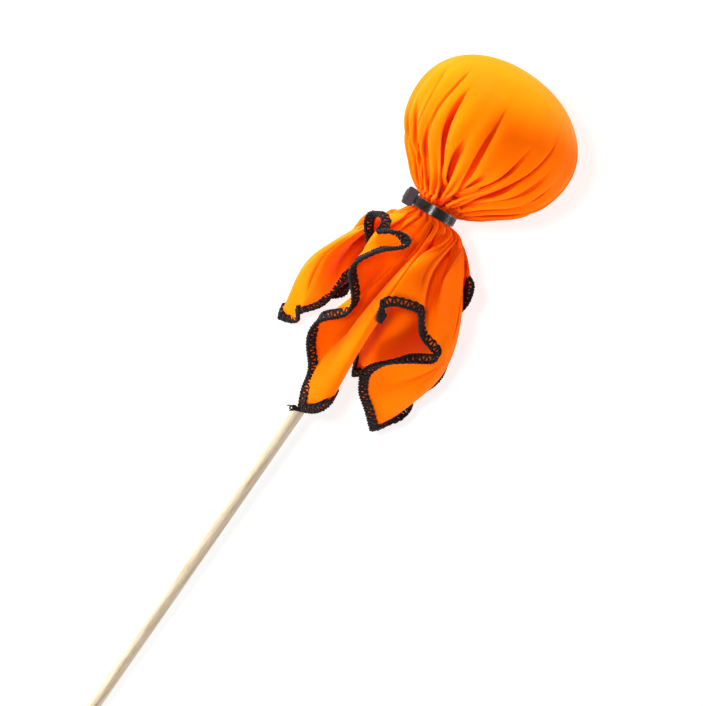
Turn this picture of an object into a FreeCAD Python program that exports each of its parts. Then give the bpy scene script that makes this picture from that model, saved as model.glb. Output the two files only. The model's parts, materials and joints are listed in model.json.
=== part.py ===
"""Devil stick with a stuffed cloth head, lying on a flat surface.

A 6 mm dowel carries a soft ball of stuffing on one end. A square of cloth goes over the ball, is gathered
round the dowel and tied with a cable tie, and hangs past the tie as a loose skirt with four corners. The
cloth's edge is overlocked with three threads.

Every shape is first made in the stick's own frame: +X along the dowel towards the head, +Z up, and the
origin on the dowel's centre line at the middle of the cable tie. lay_down() then slopes the finished
shape, because the thick head holds that end of the stick up, and moves it into the part's frame: z = 0 is
the surface that it lies on, and x = 0, y = 0 is the middle of its box. Units are millimetres.
"""

import FreeCAD, Part
import math
import os

from FreeCAD import Vector

# ---- driving dimensions ----
STICK_R = 3.0            # dowel, 6 mm thick
BUTT_X = -456.0          # the free end, from the tie
STICK_END_X = 44.0       # the end inside the head
STICK_CHAMFER = 0.4
WAIST_R = 2.8            # soft wood squeezed by the tie
WAIST_HALF = 5.0

CLOTH = 1.2              # gathered cloth and its air, as one wall
HEAD_R = 43.7            # widest radius of the stuffed head
HEAD_WIDEST_X = 45.4
CAP_R = 49.0             # the head's rounded top is an arc about the dowel's centre line
CAP_CENTRE_X = 31.6
CAP_FROM_X = 58.0        # where the arc takes over from the side's curve
HEAD_SIDE = [(7.0, 19.2), (16.6, 30.2), (31.0, 40.8)]
FLANK_LEAVES = (4.0, 8.5)     # the way that the head's side leaves the neck, and how strongly
FLANK_MEETS_CAP = 12.0   # how strongly it runs into the cap
HEAD_FLAT = 1.5          # how far the soft head is pressed flat where it lies
STUFFING_GAP = 0.1

NECK_R = 10.1            # gathered cloth under the strap
NECK_SHIFT_Y = 1.2       # the dowel passes beside the middle of the gathers
NECK_HALF = 2.75         # half the length of the gathers under the strap
NECK_EDGE_R = 9.5        # where the head and the skirt meet the gathers
NECK_LAP = 0.6           # how far they run in under the strap
TIE_TILT = 4.0           # degrees, the tie sits a little askew

SKIRT_END_X = -106.0     # the four corners
SKIRT_SIDE = [(-7.4, 19.7), (-17.0, 29.5), (-36.0, 36.6), (-62.0, 42.2), (-89.0, 38.5)]
SKIRT_END_R = 35.0
ARCH_TOP_X = -40.0       # the middle of each side of the square comes this near the tie
ARCH_R = 12.0
ARCH_END_HALF = 24.6     # half the gap between two corners, measured across
ARCH_REACH = 90.0        # the cut runs out past the corners
ARCH_CUT_R = 80.0        # and out past the widest cloth
HEM_BAND = 3.6           # width of the stitched edge
NEEDLE_BAND = 0.8
THREAD = 0.6

STRAP_W = 4.8
STRAP_T = 1.2
STRAP_CLEAR = 0.05
BEND_R = 1.3             # the strap's turn into the lock box, to its middle
STRAP_FIXED = 9.0        # degrees from the box's middle to the strap's fixed end
STRAP_ARRIVES = -18.0    # degrees, where the loop ends and the turn into the box starts
TAIL_PROUD = 0.5         # cut end of the strap past the box
PLAIN_TEETH = 2          # tooth pitches left plain at the strap's fixed end
TOOTH_PITCH = 1.1
TOOTH_DEPTH = 0.3
RAIL_W = 0.7             # plain rail each side of the teeth

BOX_IN = 10.6            # lock box, measured from the middle of the gathers
BOX_OUT = 16.1
BOX_LOW = -5.0
BOX_HIGH = 2.6
BOX_W = 8.8
BOX_CHAMFER = 0.7
BOX_DENT = 0.2           # room that the cloth leaves round the box
SLOT_CLEAR = 0.15
PAWL_T = 0.9
PAWL_W = 3.0
PAWL_LENGTH = 3.0
PAWL_GAP = 0.1
PAWL_ROOT_IN = 0.75      # the hinge is this far along the tail from the strap's turn
PAWL_TOOTH = 0.45        # height of a tooth
PAWL_TOOTH_PITCH = 0.8
PAWL_TOOTH_FOOT = 0.05   # the teeth start this deep in the tongue
PAWL_TIP_CHAMFER = 0.3
POCKET_DEEPER = 0.15
CUT_SPREAD = 60.0        # degrees that the box's cuts for the loop run on past its faces
PAWL_OPEN = 12.0         # degrees that the pawl swings away from the strap
PAWL_HINGE_R = 0.45

# ---- the pose that it lies in ----
SLOPE = math.atan((HEAD_R - HEAD_FLAT - STICK_R) / (HEAD_WIDEST_X - BUTT_X - STICK_CHAMFER))
AXIS_Z = -(BUTT_X + STICK_CHAMFER) * math.sin(SLOPE) + STICK_R * math.cos(SLOPE)
BOX_MAX_X = CAP_CENTRE_X * math.cos(SLOPE) + CAP_R
BOX_MIN_X = BUTT_X * math.cos(SLOPE) - (STICK_R - STICK_CHAMFER) * math.sin(SLOPE)
MIDDLE_X = (BOX_MAX_X + BOX_MIN_X) / 2

X_AXIS = Vector(1, 0, 0)
Y_AXIS = Vector(0, 1, 0)
Z_AXIS = Vector(0, 0, 1)
ORIGIN = Vector(0, 0, 0)
BIG = 700.0              # larger than the whole part
PAST = 1.0               # how far a cut runs on past the face that it leaves through

LYING = FreeCAD.Placement(
    Vector(-MIDDLE_X, 0, AXIS_Z),
    FreeCAD.Rotation(Y_AXIS, -math.degrees(SLOPE)),
)
TILTED = FreeCAD.Placement(
    Vector(0, NECK_SHIFT_Y, 0),
    FreeCAD.Rotation(Z_AXIS, TIE_TILT),
)


def lay_down(shape):
    """From the stick's own frame to the part's frame."""
    moved = shape.copy()
    moved.transformShape(LYING.toMatrix(), True)
    return moved


def tie_to_stick(shape):
    """From the tie's frame, centred in the gathers, to the stick's own frame."""
    moved = shape.copy()
    moved.transformShape(TILTED.toMatrix(), True)
    return moved


def above(height):
    """Everything higher than height over the surface, in the stick's own frame."""
    block = Part.makeBox(BIG * 2, BIG, BIG, Vector(-BIG, -BIG / 2, height))
    block.transformShape(LYING.inverse().toMatrix(), True)
    return block


def turned(edges, start, end):
    """The solid of an outline turned about the dowel's centre line, closed with straight edges."""
    corners = [end, Vector(end.x, 0, 0), Vector(start.x, 0, 0), start]
    closing = [Part.makeLine(a, b) for a, b in zip(corners, corners[1:]) if a.distanceToPoint(b) > 1e-6]
    face = Part.Face(Part.Wire(Part.__sortEdges__(edges + closing)))
    return Part.Solid(face.revolve(ORIGIN, X_AXIS, 360))


def spline(points, first_tangent=None, last_tangent=None):
    curve = Part.BSplineCurve()
    if last_tangent is None:
        curve.interpolate(points)
    else:
        curve.interpolate(Points=points, InitialTangent=first_tangent, FinalTangent=last_tangent)
    return curve.toShape()


# ---- the dowel ----

def stick():
    """A plain round dowel with broken edges, and a slight waist where the tie squeezes it."""
    outline = [
        Vector(BUTT_X, 0, 0),
        Vector(BUTT_X, 0, STICK_R - STICK_CHAMFER),
        Vector(BUTT_X + STICK_CHAMFER, 0, STICK_R),
        Vector(-WAIST_HALF, 0, STICK_R),
        Vector(-NECK_HALF, 0, WAIST_R),
        Vector(NECK_HALF, 0, WAIST_R),
        Vector(WAIST_HALF, 0, STICK_R),
        Vector(STICK_END_X - STICK_CHAMFER, 0, STICK_R),
        Vector(STICK_END_X, 0, STICK_R - STICK_CHAMFER),
        Vector(STICK_END_X, 0, 0),
        Vector(BUTT_X, 0, 0),
    ]
    face = Part.Face(Part.makePolygon(outline))
    return Part.Solid(face.revolve(ORIGIN, X_AXIS, 360))


# ---- the stuffed head ----

def head_form(inset):
    """The head's round form, inset evenly, with its underside pressed flat."""
    cap_r = CAP_R - inset
    joint = math.acos((CAP_FROM_X - CAP_CENTRE_X) / CAP_R)
    middle = joint / 2

    def on_cap(angle):
        return Vector(CAP_CENTRE_X + cap_r * math.cos(angle), 0, cap_r * math.sin(angle))

    top = on_cap(0)
    shoulder = on_cap(joint)
    cap = Part.Arc(shoulder, on_cap(middle), top).toShape()
    side = [
        Vector(NECK_HALF - NECK_LAP, 0, NECK_EDGE_R - inset),
        *[Vector(x, 0, r - inset) for x, r in HEAD_SIDE],
        Vector(HEAD_WIDEST_X, 0, HEAD_R - inset),
        shoulder,
    ]
    along_cap = Vector(math.sin(joint), 0, -math.cos(joint)) * FLANK_MEETS_CAP
    flank = spline(side, Vector(FLANK_LEAVES[0], 0, FLANK_LEAVES[1]), along_cap)
    form = turned([flank, cap], side[0], top)
    return form.common(above(inset))


def head_side(shape):
    """What lies on the head's side of the tied slice."""
    behind = Part.makeBox(BIG, BIG, BIG, Vector(-BIG + NECK_HALF, -BIG / 2, -BIG / 2))
    return shape.cut(tie_to_stick(behind))


def skirt_side(shape):
    """What lies on the skirt's side of the tied slice."""
    beyond = Part.makeBox(BIG, BIG, BIG, Vector(-NECK_HALF, -BIG / 2, -BIG / 2))
    return shape.cut(tie_to_stick(beyond))


def box_room():
    """Where the tie's lock box stands in the cloth's edge, with a little room round it."""
    room = Part.makeBox(
        BOX_W + 2 * BOX_DENT,
        BOX_OUT - BOX_IN + 2 * BOX_DENT,
        BOX_HIGH - BOX_LOW + 2 * BOX_DENT,
        Vector(-BOX_W / 2 - BOX_DENT, BOX_IN - BOX_DENT, BOX_LOW - BOX_DENT),
    )
    return tie_to_stick(room)


def cloth_head():
    return head_side(head_form(0).cut(head_form(CLOTH))).cut(box_room())


def stuffing():
    """The soft filling, with the dowel's end in it."""
    hole_r = STICK_R + STUFFING_GAP
    hole = Part.makeCylinder(hole_r, STICK_END_X + STUFFING_GAP, ORIGIN, X_AXIS)
    return head_side(head_form(CLOTH + STUFFING_GAP)).cut(hole)


# ---- the tied neck and the skirt ----

def cloth_neck():
    """The pleats under the strap, packed tight round the dowel."""
    ring = Part.makeCylinder(NECK_R, 2 * NECK_HALF, Vector(-NECK_HALF, 0, 0), X_AXIS)
    return tie_to_stick(ring).cut(stick())


def skirt_form(inset, floor_gap):
    """The bell of the skirt as a solid, inset evenly, flat underneath where it lies."""
    points = [Vector(-NECK_HALF + NECK_LAP, 0, NECK_EDGE_R - inset)]
    points += [Vector(x, 0, r - inset) for x, r in SKIRT_SIDE]
    points.append(Vector(SKIRT_END_X, 0, SKIRT_END_R - inset))
    form = turned([spline(points)], points[0], points[-1])
    return form.common(above(floor_gap))


def arches(widen):
    """The four gaps between the corners: each is a pointed arch with a round top, cut radially."""
    run = ARCH_TOP_X - SKIRT_END_X - ARCH_R
    lean = math.atan2(ARCH_END_HALF, run) - math.asin(ARCH_R / math.hypot(ARCH_END_HALF, run))
    radius = ARCH_R + widen
    centre_x = ARCH_TOP_X - ARCH_R
    touch = Vector(centre_x + radius * math.sin(lean), radius * math.cos(lean), 0)
    far = touch + Vector(-math.cos(lean), math.sin(lean), 0) * ARCH_REACH
    top = Vector(centre_x + radius, 0, 0)
    mirrored_touch = Vector(touch.x, -touch.y, 0)
    mirrored_far = Vector(far.x, -far.y, 0)
    edges = [
        Part.Arc(touch, top, mirrored_touch).toShape(),
        Part.makeLine(mirrored_touch, mirrored_far),
        Part.makeLine(mirrored_far, far),
        Part.makeLine(far, touch),
    ]
    prism = Part.Face(Part.Wire(edges)).extrude(Z_AXIS * ARCH_CUT_R)
    cuts = []
    for turn in (45, 135, 225, 315):
        cut = prism.copy()
        cut.rotate(ORIGIN, X_AXIS, turn)
        cuts.append(cut)
    return cuts[0].multiFuse(cuts[1:])


def skirt_layer(outer_inset, outer_gap, thickness):
    """One skin of the bell, as thick as asked."""
    outer = skirt_form(outer_inset, outer_gap)
    inner = skirt_form(outer_inset + thickness, outer_gap + thickness)
    # the bell is open at the corners' end, so the inner form runs out through it
    opening = Part.makeCylinder(
        SKIRT_END_R - outer_inset - thickness, PAST, Vector(SKIRT_END_X - PAST, 0, 0), X_AXIS
    )
    return skirt_side(outer.cut(inner)).cut(opening)


def cloth_skirt(gaps):
    """The hanging cloth, open below the middle of each side of the square."""
    return skirt_layer(THREAD, THREAD, CLOTH).cut(gaps).cut(box_room())


def hem_threads(gaps):
    """The overlocked edge: a looper thread on each face of the cloth, and the needle's line of stitches."""
    beside_edge = arches(HEM_BAND)
    beside_needle = arches(HEM_BAND + NEEDLE_BAND)
    outside = skirt_layer(0, 0, THREAD)
    inside = skirt_layer(THREAD + CLOTH, THREAD + CLOTH, THREAD)
    return {
        "hem_upper_looper": outside.common(beside_edge).cut(gaps),
        "hem_lower_looper": inside.common(beside_edge).cut(gaps),
        "hem_needle_thread": outside.common(beside_needle).cut(beside_edge),
    }


# ---- the cable tie, in its own frame: +Y through the lock box, +X along the dowel, +Z up ----

def around(angle, radius, centre=(0.0, 0.0)):
    """A point in the tie's plane, from its angle from +Y towards +Z."""
    a = math.radians(angle)
    return Vector(0, centre[0] + radius * math.cos(a), centre[1] + radius * math.sin(a))


def ring_sector(inner, outer, start, end, width, centre=(0.0, 0.0)):
    """A flat ring's sector from start to end degrees, centred on the tie's plane."""
    middle = (start + end) / 2
    edges = [
        Part.Arc(
            around(start, outer, centre), around(middle, outer, centre), around(end, outer, centre)
        ).toShape(),
        Part.makeLine(around(end, outer, centre), around(end, inner, centre)),
        Part.Arc(
            around(end, inner, centre), around(middle, inner, centre), around(start, inner, centre)
        ).toShape(),
        Part.makeLine(around(start, inner, centre), around(start, outer, centre)),
    ]
    solid = Part.Face(Part.Wire(edges)).extrude(X_AXIS * width)
    solid.translate(Vector(-width / 2, 0, 0))
    return solid


LOOP_MIDDLE = NECK_R + STRAP_CLEAR + STRAP_T / 2
ARRIVES = around(STRAP_ARRIVES, LOOP_MIDDLE)
OUTWARD = around(STRAP_ARRIVES, 1.0)
BEND_CENTRE = ARRIVES + OUTWARD * BEND_R
TAIL_Z = BEND_CENTRE.z + BEND_R


def strap_turn(extra, width):
    """The strap's turn into the box and its straight tail, made thicker by extra on each face."""
    half = STRAP_T / 2 + extra
    centre = (BEND_CENTRE.y, BEND_CENTRE.z)
    bend = ring_sector(BEND_R - half, BEND_R + half, 90, 180 + STRAP_ARRIVES, width, centre)
    tail_length = BOX_OUT + TAIL_PROUD - BEND_CENTRE.y
    tail = Part.makeBox(
        width, tail_length, 2 * half, Vector(-width / 2, BEND_CENTRE.y, TAIL_Z - half)
    )
    return bend.fuse(tail)


def tie_strap():
    """The loop round the neck, ribbed across its outer face between two plain rails."""
    inner = NECK_R + STRAP_CLEAR
    outer = inner + STRAP_T
    loop = ring_sector(inner, outer, STRAP_FIXED, 360 + STRAP_ARRIVES, STRAP_W)
    strap = loop.fuse(strap_turn(0, STRAP_W)).removeSplitter()
    groove_width = STRAP_W - 2 * RAIL_W
    step = math.degrees(TOOTH_PITCH / outer)
    first = STRAP_FIXED + PLAIN_TEETH * step
    count = int((360 + STRAP_ARRIVES - first) / step) - 1
    grooves = []
    for i in range(count):
        start = first + i * step
        grooves.append(
            ring_sector(outer - TOOTH_DEPTH, outer + PAST, start, start + step / 2, groove_width)
        )
    return strap.cut(Part.makeCompound(grooves))


PAWL_HINGE = Vector(
    0, BEND_CENTRE.y + PAWL_ROOT_IN, TAIL_Z - STRAP_T / 2 - PAWL_GAP - PAWL_TOOTH - PAWL_T / 2
)


def tie_pawl():
    """The sprung tongue: a hinge bead at its root, a flat tongue, and two teeth against the strap."""
    x = -PAWL_W / 2
    root_y = PAWL_HINGE.y
    tip_y = root_y + PAWL_LENGTH
    face_z = TAIL_Z - STRAP_T / 2 - PAWL_GAP
    low_z = PAWL_HINGE.z - PAWL_T / 2
    high_z = PAWL_HINGE.z + PAWL_T / 2
    outline = [
        Vector(x, root_y, low_z),
        Vector(x, tip_y - PAWL_TIP_CHAMFER, low_z),
        Vector(x, tip_y, low_z + PAWL_TIP_CHAMFER),
        Vector(x, tip_y, face_z),
        Vector(x, tip_y - PAWL_TOOTH_PITCH, high_z - PAWL_TOOTH_FOOT),
        Vector(x, tip_y - PAWL_TOOTH_PITCH, face_z),
        Vector(x, tip_y - 2 * PAWL_TOOTH_PITCH, high_z - PAWL_TOOTH_FOOT),
        Vector(x, root_y, high_z),
        Vector(x, root_y, low_z),
    ]
    tongue = Part.Face(Part.makePolygon(outline)).extrude(X_AXIS * PAWL_W)
    bead = Part.makeCylinder(PAWL_HINGE_R, PAWL_W, Vector(x, PAWL_HINGE.y, PAWL_HINGE.z), X_AXIS)
    return tongue.fuse(bead).removeSplitter()


def tie_head():
    """The lock box: a slot for the strap with a lead-in, and a pocket for the pawl to swing in."""
    box = Part.makeBox(
        BOX_W, BOX_OUT - BOX_IN, BOX_HIGH - BOX_LOW, Vector(-BOX_W / 2, BOX_IN, BOX_LOW)
    )
    outer_edges = [e for e in box.Edges if min(v.Y for v in e.Vertexes) > BOX_OUT - 0.01]
    box = box.makeChamfer(BOX_CHAMFER, outer_edges)
    gathers = Part.makeCylinder(
        NECK_R + STRAP_CLEAR, BOX_W + 2 * PAST, Vector(-BOX_W / 2 - PAST, 0, 0), X_AXIS
    )
    inner = NECK_R + STRAP_CLEAR
    strap_start = ring_sector(inner, inner + STRAP_T, STRAP_FIXED, CUT_SPREAD, STRAP_W)
    slot = strap_turn(SLOT_CLEAR, STRAP_W + 2 * SLOT_CLEAR)
    arriving = ring_sector(
        inner - SLOT_CLEAR, inner + STRAP_T + SLOT_CLEAR, -CUT_SPREAD, STRAP_ARRIVES,
        STRAP_W + 2 * SLOT_CLEAR,
    )
    # the pocket is as deep as the open pawl needs
    drop = PAWL_LENGTH * math.sin(math.radians(PAWL_OPEN))
    pocket_low = PAWL_HINGE.z - PAWL_T / 2 - drop - PAWL_GAP - POCKET_DEEPER
    pocket_high = TAIL_Z
    pocket_y = PAWL_HINGE.y - PAWL_HINGE_R - PAWL_GAP
    pocket = Part.makeBox(
        PAWL_W + 2 * PAWL_GAP,
        BOX_OUT - pocket_y + PAST,
        pocket_high - pocket_low,
        Vector(-PAWL_W / 2 - PAWL_GAP, pocket_y, pocket_low),
    )
    return box.cut(gathers).cut(strap_start).cut(slot).cut(arriving).cut(pocket)


# ---- write every node ----

def main():
    os.makedirs("parts", exist_ok=True)
    gaps = arches(0)
    nodes = {
        "stick": stick(),
        "stuffing": stuffing(),
        "cloth_head": cloth_head(),
        "cloth_neck": cloth_neck(),
        "cloth_skirt": cloth_skirt(gaps),
        "tie_strap": tie_to_stick(tie_strap()),
        "tie_head": tie_to_stick(tie_head()),
        "tie_pawl": tie_to_stick(tie_pawl()),
    }
    nodes.update(hem_threads(gaps))
    for name, shape in nodes.items():
        placed = lay_down(shape)
        box = placed.optimalBoundingBox()
        print(
            f"{name}: valid {placed.isValid()}, {len(placed.Solids)} solids, "
            f"{placed.Volume:.1f} mm3, x {box.XMin:.1f} to {box.XMax:.1f}, "
            f"y {box.YMin:.1f} to {box.YMax:.1f}, z {box.ZMin:.2f} to {box.ZMax:.1f}"
        )
        placed.exportStep(f"parts/{name}.step")


if __name__ == "__main__":
    main()
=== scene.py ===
"""Looks of the devil stick: cloth, stitched edge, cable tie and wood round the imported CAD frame.

Shapes are worked out in millimetres, in the part's frame moved to the tie: back is the distance behind the
tie towards the stick's free end, left is +Y and height is over the surface. to_world() gives metres.
"""

import json
import math

import bpy
import numpy as np
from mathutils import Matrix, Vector


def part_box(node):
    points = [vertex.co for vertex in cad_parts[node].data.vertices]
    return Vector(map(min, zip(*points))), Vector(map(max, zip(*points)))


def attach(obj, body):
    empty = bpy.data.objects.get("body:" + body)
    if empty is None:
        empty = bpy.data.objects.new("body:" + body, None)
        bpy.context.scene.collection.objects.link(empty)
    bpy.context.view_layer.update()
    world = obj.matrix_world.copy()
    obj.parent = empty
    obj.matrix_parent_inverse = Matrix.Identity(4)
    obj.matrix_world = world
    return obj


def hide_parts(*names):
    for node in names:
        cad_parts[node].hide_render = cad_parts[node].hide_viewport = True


MM = 0.001

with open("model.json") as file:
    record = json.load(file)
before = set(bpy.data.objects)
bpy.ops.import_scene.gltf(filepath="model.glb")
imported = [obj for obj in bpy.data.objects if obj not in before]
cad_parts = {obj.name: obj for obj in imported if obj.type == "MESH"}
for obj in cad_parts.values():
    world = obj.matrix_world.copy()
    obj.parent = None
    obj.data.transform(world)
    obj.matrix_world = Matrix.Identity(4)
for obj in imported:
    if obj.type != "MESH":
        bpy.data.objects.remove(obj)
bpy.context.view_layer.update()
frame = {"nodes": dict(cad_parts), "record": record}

# ---------------------------------------------------------------- places, from the frame

mounts = {m["name"]: m for m in frame["record"]["mounts"]}
SHAFT = mounts["handle_shaft"]
STICK_DIR = -Vector(SHAFT["axis"])
STICK_POINT = Vector(SHAFT["pos_m"])
STICK_R = SHAFT["dims"]["r_mm"]
SLOPE = math.asin(STICK_DIR.z)

neck_low, neck_high = (Vector(c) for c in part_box("cloth_neck"))
NECK_X = (neck_low.x + neck_high.x) / 2
NECK_Z = STICK_POINT.z + (NECK_X - STICK_POINT.x) * math.tan(SLOPE)
NECK_SHIFT = (neck_low.y + neck_high.y) / 2 / MM      # the gathers' middle is left of the dowel's
NECK_HEIGHT = NECK_Z / MM
NECK_HALF = 2.75          # half the length of the gathers under the strap
UNDER_STRAP = 0.35        # the cloth's ridges stay this far under the strap
NECK_R = (neck_high.y - neck_low.y) / 2 / MM - UNDER_STRAP
TIE_TILT = math.radians(4.0)

SQUARE = 310.0            # side of the flat cloth
FLAT_TO_TIE = 116.0       # from the flat cloth's middle to where the tie holds it
CLOTH_T = 0.45            # cloth thickness, with its hem allowance
COLUMNS = 720             # round the neck, one column of mesh every half degree
COLUMN = np.arange(COLUMNS)
TURN = np.linspace(0, 2 * math.pi, COLUMNS, endpoint=False)      # of each column, from straight up
HEAD_ROWS = 84
NECK_ROWS = 5
SKIRT_ROWS = 52


def axis_height(back):
    return NECK_HEIGHT - back * math.tan(SLOPE)


def to_world(points):
    """(back, left, height) in millimetres to the part's frame in metres."""
    p = np.asarray(points, float)
    out = np.empty_like(p)
    out[..., 0] = NECK_X - p[..., 0] * MM
    out[..., 1] = p[..., 1] * MM
    out[..., 2] = p[..., 2] * MM
    return out


def from_stick(along, side, up):
    """Distance along the stick past the tie, to the left and over the axis, to (back, left, height)."""
    c, s = math.cos(SLOPE), math.sin(SLOPE)
    return np.stack([-(along * c - up * s), side + 0 * along, NECK_HEIGHT + along * s + up * c], axis=-1)


def smooth(low, high, x):
    t = np.clip((x - low) / (high - low), 0, 1)
    return t * t * (3 - 2 * t)


def unit(v):
    return v / np.maximum(np.linalg.norm(v, axis=-1, keepdims=True), 1e-9)


def distances(line):
    """Distance of every point of a line from its first point, along it."""
    return np.concatenate([[0], np.cumsum(np.linalg.norm(np.diff(line, axis=0), axis=1))])


# ---------------------------------------------------------------- small mesh and node helpers

def mesh_object(name, points, faces, material):
    mesh = bpy.data.meshes.new(name)
    mesh.from_pydata([tuple(p) for p in points], [], [tuple(f) for f in faces])
    mesh.materials.append(material)
    mesh.polygons.foreach_set("use_smooth", [True] * len(mesh.polygons))
    mesh.update()
    obj = bpy.data.objects.new(name, mesh)
    bpy.context.collection.objects.link(obj)
    return obj


class Nodes:
    """A short way to write a node tree."""

    def __init__(self, name):
        self.material = bpy.data.materials.new(name)
        self.material.use_nodes = True
        self.tree = self.material.node_tree
        self.shader = self.tree.nodes["Principled BSDF"]
        self.object = self.add("ShaderNodeTexCoord").outputs["Object"]

    def add(self, kind, inputs=None, **settings):
        node = self.tree.nodes.new(kind)
        for key, value in settings.items():
            setattr(node, key, value)
        for key, value in (inputs or {}).items():
            self.put(node.inputs[key], value)
        return node

    def put(self, socket, value):
        if isinstance(value, bpy.types.NodeSocket):
            self.tree.links.new(value, socket)
        else:
            socket.default_value = value

    def set(self, **values):
        for key, value in values.items():
            self.put(self.shader.inputs[key.replace("_", " ")], value)

    def math(self, operation, a, b=0.0):
        node = self.add("ShaderNodeMath", operation=operation)
        self.put(node.inputs[0], a)
        self.put(node.inputs[1], b)
        return node.outputs[0]

    def noise(self, scale, detail=2.0, rough=0.5, vector=None):
        node = self.add("ShaderNodeTexNoise", {"Scale": scale, "Detail": detail, "Roughness": rough})
        self.put(node.inputs["Vector"], vector or self.object)
        return node.outputs["Fac"]

    def mapped(self, scale, rotation=(0, 0, 0)):
        node = self.add("ShaderNodeMapping", {"Vector": self.object, "Scale": scale, "Rotation": rotation})
        return node.outputs["Vector"]

    def ramp(self, fac, *stops):
        node = self.add("ShaderNodeValToRGB")
        node.color_ramp.elements[0].position = stops[0][0]
        node.color_ramp.elements[0].color = (*stops[0][1], 1)
        node.color_ramp.elements[1].position = stops[-1][0]
        node.color_ramp.elements[1].color = (*stops[-1][1], 1)
        for place, colour in stops[1:-1]:
            node.color_ramp.elements.new(place).color = (*colour, 1)
        self.put(node.inputs["Fac"], fac)
        return node.outputs["Color"]

    def mix(self, share, first, second):
        """Mixes two colours. The node has a pair of inputs called A and B for each type of data."""
        node = self.add("ShaderNodeMix", data_type="RGBA")
        self.put(node.inputs["Factor"], share)
        colours = [socket for socket in node.inputs if socket.type == "RGBA"]
        self.put(colours[0], first)
        self.put(colours[1], second)
        return next(socket for socket in node.outputs if socket.type == "RGBA")

    def bump(self, height, strength, distance, before=None):
        node = self.add("ShaderNodeBump", {"Height": height, "Strength": strength, "Distance": distance})
        if before is not None:
            self.put(node.inputs["Normal"], before)
        return node.outputs["Normal"]


# ---------------------------------------------------------------- materials

CLOTH_PAINTED_GLOW = 0.10               # painted glow: the knit sends out a little deep orange light by itself, which lifts its shade towards red
WALE = 0.62               # from one column of knitted loops to the next
COURSE = 0.5              # and from one row to the next
CLOTH_LIGHT = (0.30, (0.88, 0.128, 0.0)), (0.52, (0.92, 0.149, 0.0)), (0.72, (0.95, 0.170, 0.0))
# painted shade: the colour the cloth takes on in its creases and pleat valleys
CLOTH_PAINTED_FOLD_SHADE = (0.46, 0.010, 0.0, 1.0)


def cloth_material():
    """Bright orange fine knit with a soft sheen, painted deeper red shade in the folds and a painted
    orange glow.
    """
    n = Nodes("orange_cloth")
    uv = n.add("ShaderNodeUVMap", uv_map="flat_cloth").outputs["UV"]
    parts = n.add("ShaderNodeSeparateXYZ", {"Vector": uv})
    wale = n.math("SINE", n.math("MULTIPLY", parts.outputs["X"], 2 * math.pi / (WALE * MM)))
    course = n.math("SINE", n.math("MULTIPLY", parts.outputs["Y"], 2 * math.pi / (COURSE * MM)))
    knit = n.math("MULTIPLY", n.math("ADD", wale, 1.0), n.math("ADD", course, 1.0))
    slub = n.noise(900.0, 3.0, 0.6)
    broad = n.noise(28.0, 3.0, 0.55)
    height = n.math("ADD", n.math("MULTIPLY", knit, 0.12), n.math("MULTIPLY", slub, 0.5))
    tint = n.math("ADD", n.math("MULTIPLY", broad, 0.75), n.math("MULTIPLY", slub, 0.25))
    colour = n.ramp(tint, *CLOTH_LIGHT)
    # painted shade: the fold attribute mixes the colour towards deep red in creases and pleat valleys
    fold = n.add("ShaderNodeAttribute", attribute_name="fold").outputs["Fac"]
    colour = n.mix(fold, colour, CLOTH_PAINTED_FOLD_SHADE)
    n.set(Base_Color=colour, Normal=n.bump(height, 0.22, 0.00008))
    n.set(Roughness=n.math("ADD", n.math("MULTIPLY", slub, 0.12), 0.56))
    n.set(Sheen_Weight=0.12, Sheen_Roughness=0.4, Sheen_Tint=(1.0, 0.6, 0.3, 1.0))
    # painted glow: the cloth is no lamp, this lifts its shaded parts towards deep orange
    n.set(Emission_Color=(1.0, 0.02, 0.0, 1.0), Emission_Strength=CLOTH_PAINTED_GLOW)
    n.shader.inputs["Specular IOR Level"].default_value = 0.01
    return n.material


def thread_material():
    """Soft textured nylon thread, near black with a warm purple cast and pale fuzz on the high fibres."""
    n = Nodes("black_thread")
    fuzz = n.noise(5200.0, 4.0, 0.65)
    clumps = n.noise(700.0, 2.0, 0.5)
    mix = n.math("ADD", n.math("MULTIPLY", fuzz, 0.6), n.math("MULTIPLY", clumps, 0.4))
    colour = n.ramp(mix, (0.36, (0.003, 0.002, 0.002)), (0.56, (0.008, 0.005, 0.006)),
                    (0.74, (0.045, 0.030, 0.030)))
    n.set(Base_Color=colour, Normal=n.bump(fuzz, 0.7, 0.0003))
    n.set(Roughness=n.math("ADD", n.math("MULTIPLY", fuzz, 0.2), 0.62))
    n.set(Sheen_Weight=0.05, Sheen_Roughness=0.5)
    n.shader.inputs["Specular IOR Level"].default_value = 0.12
    return n.material


def wood_material():
    """Pale birch dowel: fine grain along the stick, short darker pores, and sanding marks."""
    n = Nodes("pale_wood")
    turn = (0.0, SLOPE, 0.0)
    along = n.mapped((9.0, 700.0, 700.0), turn)
    fine = n.mapped((60.0, 2600.0, 2600.0), turn)
    rings = n.noise(1.0, 4.0, 0.6, along)
    pores = n.noise(1.0, 3.0, 0.7, fine)
    stain = n.noise(14.0, 2.0, 0.5)
    grain = n.math("ADD", n.math("MULTIPLY", rings, 0.62), n.math("MULTIPLY", pores, 0.26))
    grain = n.math("ADD", grain, n.math("MULTIPLY", stain, 0.14))
    colour = n.ramp(grain, (0.34, (0.40, 0.31, 0.20)), (0.48, (0.55, 0.45, 0.32)),
                    (0.62, (0.66, 0.56, 0.42)))
    n.set(Base_Color=colour, Normal=n.bump(pores, 0.25, 0.0001))
    n.set(Roughness=n.math("ADD", n.math("MULTIPLY", rings, 0.2), 0.5))
    n.set(Diffuse_Roughness=1.0)
    n.shader.inputs["Specular IOR Level"].default_value = 0.25
    return n.material


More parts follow.
